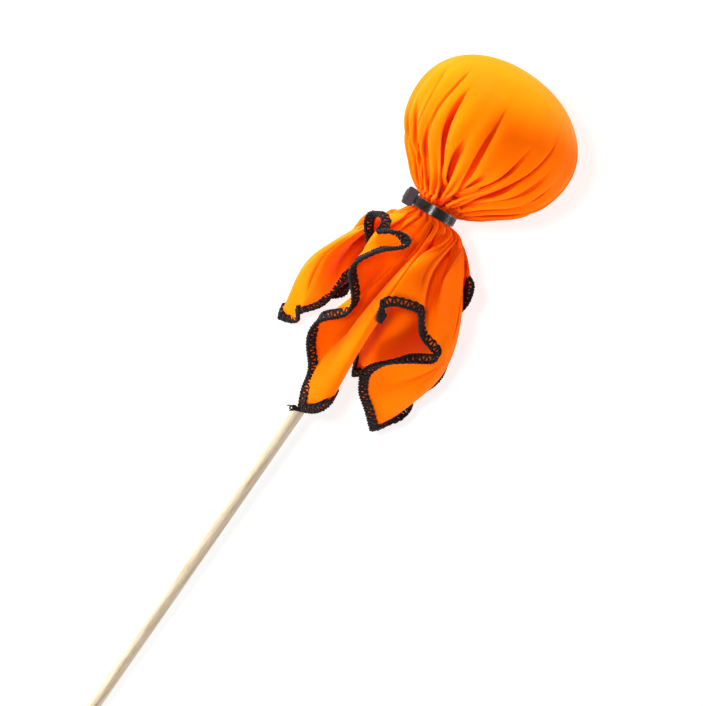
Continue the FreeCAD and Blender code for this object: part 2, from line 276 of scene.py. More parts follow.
def nylon_material(name, colour, rough, bump_scale, strength):
    """Moulded black nylon with faint flow marks and handling scuffs."""
    n = Nodes(name)
    pits = n.noise(bump_scale, 3.0, 0.6)
    scuff = n.noise(260.0, 3.0, 0.7)
    worn = tuple(c * 2.4 + 0.004 for c in colour)
    n.set(Base_Color=n.ramp(scuff, (0.45, colour), (0.8, worn)))
    n.set(Roughness=n.math("ADD", n.math("MULTIPLY", scuff, 0.25), rough - 0.12))
    n.set(Normal=n.bump(pits, strength, 0.00006))
    return n.material


def filling_material():
    """White polyester filling."""
    n = Nodes("white_filling")
    fibres = n.noise(900.0, 5.0, 0.7)
    tufts = n.noise(90.0, 3.0, 0.6)
    n.set(Base_Color=n.ramp(tufts, (0.35, (0.72, 0.71, 0.68)), (0.65, (0.9, 0.9, 0.88))))
    n.set(Roughness=0.95, Normal=n.bump(fibres, 0.8, 0.0008))
    return n.material


CLOTH = cloth_material()
THREAD = thread_material()
WOOD = wood_material()
STRAP_NYLON = nylon_material("black_nylon_gloss", (0.016, 0.016, 0.017), 0.24, 1500.0, 0.12)
BOX_NYLON = nylon_material("black_nylon_matte", (0.018, 0.019, 0.028), 0.55, 2400.0, 0.35)
FILLING = filling_material()

# ---------------------------------------------------------------- the stuffed head's form

# (distance past the tie, radius) of the head's outline, both in millimetres
HEAD_OUTLINE = [(2.6, 10.2), (4.6, 14.3), (7.0, 18.8), (11.8, 24.6), (16.6, 29.8), (21.4, 34.4),
                (26.2, 37.9), (31.0, 40.4), (38.0, 42.4)]
WIDEST = 45.4             # past here the outline is a squarish ellipse
WIDEST_R = 43.0
HEAD_TOP = 78.8
ROUNDNESS = 2.1           # 2 is an ellipse, more is squarer
HEAD_PRESSED = 0.6        # the lowest height of the cloth over the surface
PRESS_SOFT = 0.5
PRESS_REACH = 8.0
HEAD_SHIFT = -1.2         # the ball sits a little to the right of the dowel
HEAD_SHIFTED = (76.0, 50.0)      # where that begins, from the head's top, and where it is whole
NECK_SHIFTED = 26.0       # from here to the tie the form leans over to the gathers' middle
SWELL = (8.0, 30.0, 50.0, 74.0)  # the ball's slight lumps come in and go out between these places
CREASE_LINE = 0.6         # share of a crease's depth that is a tight fold line
CREASE_LINE_W = 0.7       # half width of that line
CREASE_NARROW = 0.55      # width of a crease at the tie, as a share of its width further on
CREASE_SHALLOW = 0.45     # and its depth there
CREASE_WIDENS = (4.0, 30.0)      # places between which a crease gets its full width
CREASE_DEEPENS = (0.0, 18.0)     # and its full depth
CREASE_FADES = 0.35       # share of a crease's second half after which it fades out
CROSSED = 0.25            # share of the shallower depth that adds to the deeper where creases meet
FOLD_SHADE_W = 0.8              # half width of the painted shade along a fold
DEEPEST_FOLD = 3.6        # a fold this deep gets all of that painted shade
CROWDED = 0.42            # the folds crowd towards one dimple on top, right past the tie
CROWDED_MOST = 6.5
CROWDED_TO = 30.0


def cubic_through(xs, ys, at):
    """A natural cubic curve through the given points."""
    xs, ys, at = (np.asarray(v, float) for v in (xs, ys, at))
    n = len(xs)
    h = np.diff(xs)
    a = np.zeros((n, n))
    b = np.zeros((n,) + ys.shape[1:])
    a[0, 0] = a[-1, -1] = 1.0
    for i in range(1, n - 1):
        a[i, i - 1 : i + 2] = h[i - 1], 2 * (h[i - 1] + h[i]), h[i]
        b[i] = 6 * ((ys[i + 1] - ys[i]) / h[i] - (ys[i] - ys[i - 1]) / h[i - 1])
    m = np.linalg.solve(a, b)
    i = np.clip(np.searchsorted(xs, at) - 1, 0, n - 2)
    t0, t1, hi = at - xs[i], xs[i + 1] - at, h[i]
    if ys.ndim > 1:
        t0, t1, hi = t0[:, None], t1[:, None], hi[:, None]
    return (
        (m[i] * t1**3 + m[i + 1] * t0**3) / (6 * hi)
        + (ys[i] / hi - m[i] * hi / 6) * t1
        + (ys[i + 1] / hi - m[i + 1] * hi / 6) * t0
    )


def cap_radius(along):
    return WIDEST_R * (1 - ((along - WIDEST) / (HEAD_TOP - WIDEST)) ** ROUNDNESS) ** (1 / ROUNDNESS)


def head_outline(rows):
    """Evenly spaced points down the head's outline, from its top to the tie."""
    cap = HEAD_TOP - (HEAD_TOP - WIDEST) * np.linspace(0, 1, 200) ** 3
    side = HEAD_OUTLINE + [(WIDEST + step, cap_radius(WIDEST + step)) for step in (0.0, 6.0)]
    low = np.linspace(WIDEST, HEAD_OUTLINE[0][0], 120)[1:]
    low_radius = cubic_through([p[0] for p in side], [p[1] for p in side], low)
    line = np.concatenate([np.stack([cap, cap_radius(cap)], axis=1), np.stack([low, low_radius], axis=1)])
    step = distances(line)
    at = np.linspace(0, step[-1], rows)
    return np.interp(at, step, line[:, 0]), np.interp(at, step, line[:, 1])


# Creases of the head. Each is (turn from straight up at its tie end, in the middle, at its top end, in
# degrees with plus to the right; distance past the tie where it starts, is half way and ends; depth;
# width to its left; width to its right), in millimetres. They fan out from the tie, and CROWDED draws
# them towards one place on its top.
# each crease also gets painted deep red shade along its line
CREASES = [
    (7.5, 1.3, -1.6, 9.0, 31.0, 61.0, 3.0, 1.0, 2.4),
    (-5.0, -27.0, -31.0, 5.0, 31.0, 59.0, 4.2, 1.5, 3.6),
    (7.0, 19.7, 24.5, 7.0, 24.0, 53.0, 5.0, 3.4, 1.5),
    (24.0, 33.0, 43.7, 8.0, 30.0, 64.0, 4.2, 1.1, 3.2),
    (16.0, 40.0, 47.5, 5.0, 24.0, 52.0, 1.8, 2.2, 1.1),
    (-4.0, -12.0, -11.0, 5.0, 20.0, 40.0, 3.4, 1.8, 3.2),
    (2.0, 8.0, 12.5, 4.0, 16.0, 30.0, 3.0, 1.8, 2.0),
    (-24.0, -41.0, -42.0, 4.0, 18.0, 40.0, 2.0, 2.4, 1.3),
    (-40.0, -50.0, -47.0, 4.0, 15.0, 30.0, 1.6, 1.5, 2.6),
    (-54.0, -58.0, -73.0, 5.0, 22.0, 48.0, 1.2, 1.4, 2.8),
    (-43.0, -42.0, -44.0, 44.0, 53.0, 66.0, 1.6, 2.5, 2.0),
    (-55.0, -56.0, -66.0, 30.0, 47.0, 62.0, 1.2, 2.2, 2.2),
    (34.0, 50.0, 60.0, 5.0, 19.0, 46.0, 2.4, 1.4, 2.4),
    (44.0, 64.0, 70.0, 4.0, 15.0, 36.0, 2.6, 2.2, 1.3),
    (62.0, 76.0, 79.0, 4.0, 16.0, 50.0, 1.6, 1.6, 2.2),
    (-66.0, -72.0, -78.0, 4.0, 14.0, 33.0, 2.0, 1.4, 2.0),
]
BACK_CREASES = 22         # the underside's creases, spread at random


def all_creases():
    rng = np.random.default_rng(7)
    made = list(CREASES)
    for i in range(BACK_CREASES):
        turn = 84.0 + (i + 0.5) * (360.0 - 168.0) / BACK_CREASES + rng.uniform(-3.5, 3.5)
        lean = rng.uniform(-9, 9)
        reach = rng.uniform(26, 58)
        made.append((turn, turn + lean * 0.6, turn + lean, 4.0, reach * 0.45, reach,
                     rng.uniform(0.9, 2.4), rng.uniform(1.2, 2.6), rng.uniform(1.2, 2.6)))
    return made


def head_grid():
    """The head's cloth as rows from its top to the tie, and its share of painted fold shade."""
    along, radius = head_outline(HEAD_ROWS)
    turn = TURN[None, :]
    along_2d = along[:, None] + 0 * turn
    turn = turn - CROWDED * np.sin(turn) * smooth(NECK_HALF, CROWDED_MOST, along_2d) * smooth(
        CROWDED_TO, CROWDED_MOST, along_2d
    )
    radius_2d = radius[:, None] + 0 * turn
    depth = np.zeros_like(along_2d)
    fold = np.zeros_like(along_2d)
    for near, middle, far, start, half, end, deep, left_w, right_w in all_creases():
        line = cubic_through([start, half, end], [near, middle, far], np.clip(along, start, end))
        away = np.degrees(turn) - line[:, None]
        away = (away + 180.0) % 360.0 - 180.0
        distance = np.radians(away) * radius_2d
        narrow = CREASE_NARROW + (1 - CREASE_NARROW) * smooth(*CREASE_WIDENS, along_2d)
        width = np.where(distance < 0, left_w, right_w) * narrow
        shape = (1 - CREASE_LINE) * np.exp(-np.abs(distance / width) ** 1.1)
        shape += CREASE_LINE * np.exp(-((distance / CREASE_LINE_W) ** 2))
        fade = smooth(end, half + CREASE_FADES * (end - half), along_2d)
        tighten = CREASE_SHALLOW + (1 - CREASE_SHALLOW) * smooth(*CREASE_DEEPENS, along_2d)
        pressed_in = deep * fade * shape * tighten
        depth = np.maximum(depth, pressed_in) + CROSSED * np.minimum(depth, pressed_in)
        # painted shade along the crease's line
        line = np.exp(-((distance / FOLD_SHADE_W) ** 2)) * fade * min(1.0, deep / DEEPEST_FOLD)
        fold = np.maximum(fold, line)
    swell = 0.5 * np.sin(3 * turn + 1.1) + 0.4 * np.sin(5 * turn + 2.3)
    swell = swell * smooth(SWELL[0], SWELL[1], along_2d) * smooth(SWELL[3], SWELL[2], along_2d)
    radius_2d = radius_2d - depth + swell
    shift = HEAD_SHIFT * smooth(*HEAD_SHIFTED, along_2d)
    shift = shift + (NECK_SHIFT - HEAD_SHIFT) * smooth(NECK_SHIFTED, 0.0, along_2d)
    grid = from_stick(along_2d, shift - radius_2d * np.sin(turn), radius_2d * np.cos(turn))
    past_neck = np.clip(along_2d - NECK_HALF, 0, None)
    fade = HEAD_PLEATS_FADE + UNDER_PLEATS_FADE * (1 - np.cos(turn)) / 2
    steepness = NECK_STEEPNESS * np.exp(-((past_neck / fade) ** 1.15))
    grid = pleat(grid, PLEATS, steepness, grid_normals(grid), pleat_phase())
    return press_flat(grid), np.maximum(fold, pleat_valley_shade(steepness))


PLEATS = 24               # round the neck
PLEAT_WOBBLE = (2, 3, 5, 7)      # turns of the slow waves that make the pleats uneven
VALLEY_PAINTED_SHADE = 0.8       # share of painted shade at the bottom of a tight pleat
HIDDEN_PLEATS = 72        # small buckles round the whole skirt, of which only those underneath are made
HIDDEN_STEEPNESS = 1.72
HIDDEN_BLEND = 8          # columns over which they come in


def bessel(order, x):
    """Bessel functions of the first kind, as the mean of their integral."""
    tau = (np.arange(64) + 0.5) / 64 * math.pi
    return np.cos(order * tau - np.asarray(x)[..., None] * np.sin(tau)).mean(axis=-1)


def pleat(grid, count, steepness, outward, phase):
    """Gathers a smooth grid into pleats.

    Each row becomes the curve whose slope swings evenly by the row's steepness, in radians, to both
    sides, as a thin sheet buckles. The pleats' ridges stay on the smooth form and their valleys go in.
    """
    across = (np.roll(grid, -1, axis=1) - np.roll(grid, 1, axis=1)) / 2
    pitch = np.linalg.norm(across, axis=-1) * COLUMNS / count
    along = unit(across)
    j0, j1, j2, j3, j4 = (bessel(k, steepness) for k in range(5))
    shift = j2 * np.sin(2 * phase) + j4 / 2 * np.sin(4 * phase)
    depth = -(2 * j1 * np.cos(phase) + 2 * j3 / 3 * np.cos(3 * phase)) - (2 * j1 + 2 * j3 / 3)
    size = pitch / (2 * math.pi * j0)
    return grid + along * (size * shift)[..., None] + outward * (size * depth)[..., None]


def pleat_valley_shade(steepness):
    """Painted shade of the pleats: how deep in a pleat each point lies, from 0 on its ridge to 1 in a
    tight valley.
    """
    valley = ((1 + np.cos(pleat_phase())) / 2) ** 1.5
    return valley * np.clip(steepness / NECK_STEEPNESS, 0, 1) * VALLEY_PAINTED_SHADE


def hidden_part():
    """1 for the columns of cloth that lie folded under the skirt, 0 for those in the open."""
    share = np.zeros(COLUMNS)
    for first, last in HIDDEN_COLUMNS:
        inside = smooth(first, first + HIDDEN_BLEND, COLUMN) * smooth(last, last - HIDDEN_BLEND, COLUMN)
        share = np.maximum(share, inside)
    return share


def pleat_phase():
    """Uneven pleats: where each one's ridge and valley lie, round the neck."""
    rng = np.random.default_rng(11)
    wobble = sum(rng.uniform(0.25, 0.55) * np.sin(k * TURN + rng.uniform(0, 6.28)) for k in PLEAT_WOBBLE)
    return (PLEATS * TURN + wobble)[None, :]


def press_flat(grid):
    """Presses the underside flat on the surface, with a soft turn at the flat place's edge."""
    low = grid[..., 2]
    pressed = HEAD_PRESSED + np.log1p(np.exp((low - HEAD_PRESSED) / PRESS_SOFT)) * PRESS_SOFT
    grid[..., 2] = np.where(low < HEAD_PRESSED + PRESS_REACH, pressed, low)
    return grid


# ---------------------------------------------------------------- the tied neck

NECK_STEEPNESS = 1.98      # how far the pleats fold, in radians
HEAD_PLEATS_FADE = 16.0
UNDER_PLEATS_FADE = 12.0   # they run that much further underneath


def neck_grid(pleated=True):
    """The gathers under the strap, in the tie's tilted plane, from the head's side to the skirt's."""
    past = np.linspace(NECK_HALF, -NECK_HALF, NECK_ROWS)[:, None]
    side = -NECK_R * np.sin(TURN)[None, :]
    up = NECK_R * np.cos(TURN)[None, :]
    c, s = math.cos(TIE_TILT), math.sin(TIE_TILT)
    grid = from_stick(past * c - side * s, NECK_SHIFT + past * s + side * c, up + 0 * past)
    if not pleated:
        return grid
    return pleat(grid, PLEATS, NECK_STEEPNESS + 0 * past, grid_normals(grid), pleat_phase())


# ---------------------------------------------------------------- the skirt

# Ribs of the skirt: (back, left, height) where each meets the stitched edge, and again at a place half way
# from the tie. The four lists run round the square's edge from corner to corner. Left corner to the corner
# that lies on the stick:
LEFT_TO_FRONT = [
    (84.0, 33.6, 8.0, 49.0, 36.8, 36.0),
    (82.5, 28.5, 9.0, 47.0, 36.0, 43.0),
    (79.5, 25.5, 13.0, 46.0, 33.5, 47.0),
    (77.0, 27.0, 17.0, 45.5, 32.0, 49.5),
    (74.5, 25.5, 18.0, 45.0, 30.0, 50.0),
    (71.0, 22.5, 19.0, 44.0, 28.0, 47.0),
    (66.0, 19.5, 21.0, 43.0, 26.0, 41.0),
    (59.5, 18.7, 24.0, 41.0, 24.5, 35.0),
    (53.0, 18.0, 28.0, 38.0, 23.0, 31.0),
    (47.0, 16.4, 33.0, 32.0, 22.0, 31.5),
    (38.5, 15.8, 41.0, 25.0, 21.0, 35.0),
    (31.5, 18.0, 46.5, 19.0, 20.5, 40.0),
    (26.5, 22.6, 49.5, 14.5, 19.8, 43.0),
    (22.0, 25.6, 50.5, 12.2, 18.4, 46.0),
    (18.8, 25.4, 53.0, 11.4, 16.6, 49.0),
    (17.2, 22.4, 56.0, 11.0, 15.0, 51.5),
    (17.8, 19.2, 59.5, 11.0, 13.4, 54.0),
    (20.6, 17.6, 62.5, 12.0, 12.2, 56.0),
    (24.4, 17.4, 65.0, 14.5, 12.2, 58.0),
    (22.4, 14.2, 66.5, 21.0, 15.8, 61.0),
    (19.8, 9.8, 67.0, 26.0, 17.6, 62.0),
    (18.6, 5.4, 67.0, 29.0, 17.8, 62.0),
    (19.8, 2.4, 67.5, 31.0, 17.8, 62.0),
    (22.6, 2.6, 68.5, 33.0, 17.8, 62.0),
    (27.0, 7.0, 69.0, 35.0, 17.8, 62.0),
    (34.0, 13.2, 68.0, 38.0, 17.8, 61.5),
    (40.8, 16.8, 66.0, 41.0, 18.0, 61.0),
    (46.5, 17.5, 62.5, 29.0, 15.0, 56.0),
    (51.0, 14.2, 58.5, 30.0, 11.5, 53.0),
    (56.0, 9.6, 55.0, 31.0, 8.6, 50.0),
    (61.5, 7.2, 52.5, 33.0, 6.8, 48.0),
    (66.0, 8.6, 50.5, 35.0, 6.0, 47.0),
    (70.0, 12.4, 50.0, 37.0, 5.6, 46.0),
    (74.5, 16.2, 49.5, 39.0, 5.2, 45.0),
    (80.0, 17.0, 47.5, 42.0, 4.8, 44.0),
    (86.5, 14.4, 44.5, 46.0, 4.6, 41.0),
    (91.0, 10.6, 42.0, 50.0, 4.2, 42.0),
    (97.0, 6.4, 38.5, 53.0, 3.6, 46.0),
    (105.5, 4.2, 36.4, 55.0, 3.2, 51.5),
    (110.5, 2.0, 35.6, 56.5, 1.4, 54.5),
]
# the corner on the stick to the right corner
FRONT_TO_RIGHT = [
    (114.5, 0.0, 35.6, 57.0, -0.6, 57.5),
    (112.8, -3.8, 37.4, 57.5, -2.4, 60.0),
    (109.5, -8.0, 39.6, 58.5, -4.0, 61.0),
    (104.0, -10.2, 39.5, 61.0, -5.6, 58.5),
    (98.0, -8.0, 30.0, 64.0, -7.0, 51.0),
    (91.0, -2.5, 22.0, 61.0, -6.4, 44.0),
    (82.0, 0.5, 16.0, 49.0, -3.4, 36.0),
    (72.0, 2.0, 13.0, 41.0, -1.0, 32.5),
    (62.0, 1.0, 18.5, 35.0, -1.0, 33.5),
    (58.0, -3.0, 28.0, 30.0, -3.0, 42.0),
    (57.5, -7.0, 40.0, 27.0, -4.6, 54.0),
    (58.0, -7.6, 52.0, 25.5, -5.0, 61.5),
    (57.0, -5.6, 61.5, 25.0, -5.0, 64.0),
    (53.5, -4.6, 65.0, 24.5, -5.6, 65.5),
    (49.5, -6.6, 65.5, 24.0, -7.6, 66.0),
    (46.8, -11.0, 64.5, 24.0, -10.0, 66.0),
    (45.2, -15.8, 63.6, 24.5, -12.2, 65.4),
    (44.6, -19.6, 61.8, 25.0, -14.2, 62.5),
    (46.6, -22.2, 59.5, 26.0, -15.0, 57.0),
    (50.6, -25.2, 55.0, 27.0, -16.8, 53.0),
    (53.5, -29.2, 51.5, 28.0, -18.8, 54.5),
    (54.5, -33.8, 49.5, 29.0, -21.0, 58.5),
    (56.2, -37.6, 48.5, 31.0, -24.6, 56.5),
    (58.4, -39.6, 48.5, 35.0, -29.0, 52.5),
    (60.8, -37.6, 49.5, 39.0, -34.0, 49.0),
    (63.4, -33.6, 50.0, 44.0, -38.4, 47.0),
    (66.6, -28.8, 50.0, 47.5, -40.4, 46.0),
    (70.2, -24.0, 48.5, 50.0, -41.2, 45.5),
    (73.4, -20.0, 46.0, 52.0, -41.6, 45.0),
    (76.8, -16.8, 42.5, 53.5, -41.8, 44.5),
    (80.4, -15.0, 39.0, 55.0, -42.0, 44.0),
    (84.2, -15.0, 36.0, 56.5, -42.2, 43.5),
    (87.4, -16.6, 33.0, 57.5, -42.4, 43.0),
    (91.4, -19.4, 30.0, 58.2, -42.8, 42.0),
    (95.0, -24.2, 27.0, 58.8, -43.2, 41.0),
    (99.0, -29.2, 23.0, 59.5, -43.8, 39.0),
]
# the right corner to the corner under the stick
RIGHT_TO_UNDER = [
    (103.2, -34.0, 18.0, 60.0, -44.6, 36.0),
    (100.2, -36.8, 15.5, 59.0, -45.4, 33.5),
    (96.0, -38.8, 15.0, 58.0, -46.0, 31.5),
    (91.2, -39.8, 16.0, 57.0, -46.2, 30.0),
    (85.6, -40.4, 18.0, 55.0, -46.0, 28.5),
    (80.8, -41.2, 20.0, 52.0, -45.4, 27.5),
    (74.6, -43.4, 22.5, 48.0, -44.2, 27.0),
    (69.8, -45.6, 24.0, 44.0, -42.8, 26.5),
    (65.0, -46.8, 24.0, 40.0, -41.0, 25.5),
    (60.0, -46.2, 20.0, 36.5, -39.0, 23.0),
    (54.0, -42.4, 12.5, 32.0, -37.0, 18.5),
    (46.5, -40.0, 9.0, 27.5, -34.5, 16.0),
    (39.5, -37.6, 14.5, 23.5, -32.0, 20.0),
    (34.0, -36.4, 22.0, 20.0, -30.0, 25.5),
    (30.5, -36.6, 28.0, 18.0, -28.8, 30.0),
    (26.5, -36.8, 32.5, 16.0, -28.0, 33.5),
    (21.5, -35.6, 34.0, 14.0, -26.0, 34.5),
    (17.8, -33.6, 32.0, 12.0, -23.5, 32.5),
    (18.0, -30.0, 26.0, 10.8, -20.5, 29.0),
    (24.0, -31.0, 18.0, 12.6, -18.5, 26.0),
    (34.0, -36.0, 9.0, 17.5, -17.5, 24.0),
    (46.0, -40.5, 5.0, 24.5, -19.0, 23.0),
    (57.0, -40.5, 4.0, 30.5, -21.0, 24.0),
    (66.0, -36.0, 9.0, 38.0, -23.0, 35.0),
    (73.0, -29.0, 15.0, 45.0, -20.5, 42.0),
    (80.0, -20.0, 20.0, 50.0, -16.0, 44.0),
]
# the corner under the stick to the left corner
UNDER_TO_LEFT = [
    (86.5, -11.8, 20.0, 51.0, -11.0, 39.0),
    (80.0, -9.0, 12.0, 46.0, -7.4, 24.0),
    (70.0, -6.5, 5.0, 40.0, -3.4, 8.0),
    (58.0, -4.0, 5.0, 33.0, -0.4, 7.5),
    (46.0, 0.5, 6.5, 26.5, 2.6, 10.0),
    (35.5, 5.5, 10.5, 20.5, 5.8, 15.0),
    (28.0, 11.5, 16.5, 15.5, 10.4, 21.0),
    (26.5, 18.0, 21.5, 14.0, 15.0, 26.0),
    (32.0, 22.5, 20.0, 17.0, 19.0, 27.0),
    (41.5, 21.0, 14.0, 23.0, 22.0, 24.0),
    (50.0, 16.0, 10.0, 28.0, 23.5, 20.0),
    (56.5, 14.0, 11.0, 32.0, 24.0, 18.0),
    (61.0, 18.0, 12.0, 35.0, 26.5, 17.0),
    (66.0, 22.0, 8.0, 38.5, 30.0, 17.5),
    (73.0, 26.5, 5.0, 42.5, 33.5, 22.0),
    (80.0, 34.5, 4.5, 48.5, 36.8, 30.0),
]


def side_ribs(keys, after):
    """One side of the square: for each of its columns, the rib's end and its half-way place."""
    ribs = np.array(keys + after[:1])
    step = distances(ribs[:, :3])
    angle = np.radians(-45 + 90 * np.arange(COLUMNS // 4) / (COLUMNS // 4))
    at = (np.tan(angle) + 1) / 2 * step[-1]
    return cubic_through(step, ribs, at)


# Fold lines of the skirt: (column, depth in millimetres, width before and after it in columns, and the
# shares of the way from the tie to the edge between which it shows).
# Each line also gets painted deep red shade.
SKIRT_CREASES = [
    (712, 3.4, 3.0, 5.0, 0.02, 0.86),
    (707, 2.8, 1.8, 1.4, 0.04, 0.70),
    (573, 3.0, 7.0, 5.0, 0.40, 0.98),
    (106, 2.4, 5.0, 1.6, 0.02, 0.90),
    (127, 2.2, 4.0, 1.4, 0.02, 0.80),
    (147, 1.8, 4.0, 1.4, 0.02, 0.70),
    (168, 1.6, 1.4, 3.0, 0.40, 0.92),
    (174, 1.2, 1.4, 3.0, 0.45, 0.85),
    (548, 2.4, 2.0, 3.0, 0.30, 0.90),
    (668, 1.6, 3.0, 2.0, 0.05, 0.50),
    (640, 1.6, 3.0, 5.0, 0.05, 0.60),
]
CREASE_IN = 0.12          # share of the way over which a fold line comes in, and goes out
CREASE_OUT = 0.2
SKIRT_PLEATS_FADE = 13.0
SKIRT_UNDER_FADE = 7.0    # the pleats run that much further underneath
HIDDEN_COLUMNS = [(366, 500), (507, 528)]      # cloth folded under the skirt
HIDDEN_FROM = (6.0, 22.0)     # its small buckles come in this far behind the tie
FLAT_COLUMNS = (596, 684)     # the turned-over flap, which has hardly any pleats
FLAT_BLEND = 12
FLAT_SHARE = 0.75
FLAT_FROM = (4.0, 12.0)
SKIRT_LOWEST = 1.0
# the skirt's shoulder just behind the tie: an ellipse a little to the right of the dowel
SHOULDER_BACK = 5.4
SHOULDER_LEAN = 0.9
SHOULDER_SHIFT = -2.0
SHOULDER_WIDE = 15.6
SHOULDER_HIGH = 17.0


def along_ribs(nodes, rows):
    """Points along the curves through nodes[1] to nodes[4], evenly spread by the nodes' distances.

    The curves are centripetal Catmull-Rom splines, worked out for all columns at once by Barry and
    Goldman's scheme. nodes[0] and nodes[5] lie past the ends and only steer them.
    """
    knots = [np.zeros(COLUMNS)]
    for a, b in zip(nodes, nodes[1:]):
        knots.append(knots[-1] + np.linalg.norm(b - a, axis=1) ** 0.5)
    spans = [np.linalg.norm(b - a, axis=1) for a, b in zip(nodes[1:], nodes[2:5])]
    first, second = spans[0], spans[0] + spans[1]
    found = []
    for v in np.linspace(0, 1, rows)[1:]:
        want = v * (second + spans[2])
        piece = (want > first).astype(int) + (want > second).astype(int)
        passed = np.where(piece == 0, 0, np.where(piece == 1, first, second))
        share = np.clip((want - passed) / np.choose(piece, spans), 0, 1)[:, None]
        p = [np.choose(piece[:, None], [nodes[k + j] for k in range(3)]) for j in range(4)]
        t = [np.choose(piece, [knots[k + j] for k in range(3)])[:, None] for j in range(4)]
        x = t[1] + (t[2] - t[1]) * share

        def between(low, high, at_low, at_high):
            span = t[high] - t[low]
            return (t[high] - x) / span * at_low + (x - t[low]) / span * at_high

        a = [between(k, k + 1, p[k], p[k + 1]) for k in range(3)]
        b = [between(k, k + 2, a[k], a[k + 1]) for k in range(2)]
        found.append(between(1, 2, b[0], b[1]))
    return np.array(found)


def skirt_form(ring):
    """The skirt's cloth before its folds, as rows from the tie to the stitched edge."""
    lists = [FRONT_TO_RIGHT, RIGHT_TO_UNDER, UNDER_TO_LEFT, LEFT_TO_FRONT]
    ribs = np.concatenate([side_ribs(keys, lists[(i + 1) % 4]) for i, keys in enumerate(lists)])
    end, half = ribs[:, :3], ribs[:, 3:]
    shoulder = np.stack(
        [
            SHOULDER_BACK - SHOULDER_LEAN * np.sin(TURN),
            SHOULDER_SHIFT - SHOULDER_WIDE * np.sin(TURN),
            axis_height(SHOULDER_BACK) + SHOULDER_HIGH * np.cos(TURN),
        ],
        axis=1,
    )
    before = 2 * ring - shoulder
    before[:, 0] = ring[:, 0]
    grid = along_ribs([before, ring, shoulder, half, end, 2 * end - half], SKIRT_ROWS)
    return relax(grid, ring)


def with_ring(ring, grid):
    return np.concatenate([ring[None], grid])


def crease_skirt(grid, ring):
    """Presses the fold lines into the skirt. Also gives the share of painted fold shade at each point."""
    normal = grid_normals(with_ring(ring, grid))[1:]
    share = np.linspace(0, 1, SKIRT_ROWS)[1:, None]
    shade = np.zeros((SKIRT_ROWS - 1, COLUMNS))
    for middle, deep, before_w, after_w, start, stop in SKIRT_CREASES:
        away = (COLUMN - middle + COLUMNS / 2) % COLUMNS - COLUMNS / 2
        fold = np.exp(-np.abs(away / np.where(away < 0, before_w, after_w)) ** 1.2)
        shows = smooth(start, start + CREASE_IN, share) * smooth(stop, stop - CREASE_OUT, share)
        grid = grid - normal * (deep * fold * shows)[..., None]
        # painted shade along the fold line
        shade = np.maximum(shade, fold * shows * min(1.0, deep / DEEPEST_FOLD))
    return grid, shade


def skirt_grid():
    """The skirt's cloth as rows from the tie to the stitched edge, and its share of painted fold shade."""
    ring = neck_grid(pleated=False)[-1]
    grid, shade = crease_skirt(skirt_form(ring), ring)
    normal = grid_normals(with_ring(ring, grid))[1:]
    gone = np.cumsum(np.linalg.norm(np.diff(with_ring(ring, grid), axis=0), axis=-1), axis=0)
    fade = SKIRT_PLEATS_FADE + SKIRT_UNDER_FADE * (1 - np.cos(TURN)) / 2
    steepness = NECK_STEEPNESS * np.exp(-((gone / fade) ** 1.2)) * smooth(1.0, 0.75, gone / gone[-1])
    first, last = FLAT_COLUMNS
    flat = smooth(first - FLAT_BLEND, first + FLAT_BLEND, COLUMN)
    flat = flat * smooth(last + FLAT_BLEND, last - FLAT_BLEND, COLUMN)
    steepness = steepness * (1 - FLAT_SHARE * flat * smooth(*FLAT_FROM, gone))
    grid = pleat(grid, PLEATS, steepness, normal, pleat_phase())
    buckled = HIDDEN_STEEPNESS * hidden_part()[None, :] * smooth(*HIDDEN_FROM, gone)
    normal = grid_normals(with_ring(ring, grid))[1:]
    grid = pleat(grid, HIDDEN_PLEATS, buckled, normal, (HIDDEN_PLEATS * TURN)[None, :])
    grid[..., 2] = np.maximum(grid[..., 2], SKIRT_LOWEST)
    return grid, np.maximum(shade, pleat_valley_shade(steepness))


EVENED = 0.4              # share of its neighbours' place that a rib takes on in every round
EVEN_ROUNDS = 6


def relax(grid, ring):
    """Evens the ribs out without moving the tie's ring or the stitched edge."""
    for _ in range(EVEN_ROUNDS):
        inner = with_ring(ring, grid)[1:-1]
        across = (np.roll(inner, 1, axis=1) + np.roll(inner, -1, axis=1)) / 2
        grid[:-1] = (1 - EVENED) * inner + EVENED * across
    return grid


def grid_normals(grid):
    """Unit normals of a grid of rows closed round its columns."""
    down = np.gradient(grid, axis=0)
    across = np.roll(grid, -1, axis=1) - np.roll(grid, 1, axis=1)
    return unit(np.cross(across, down))


# ---------------------------------------------------------------- the cloth as one sheet

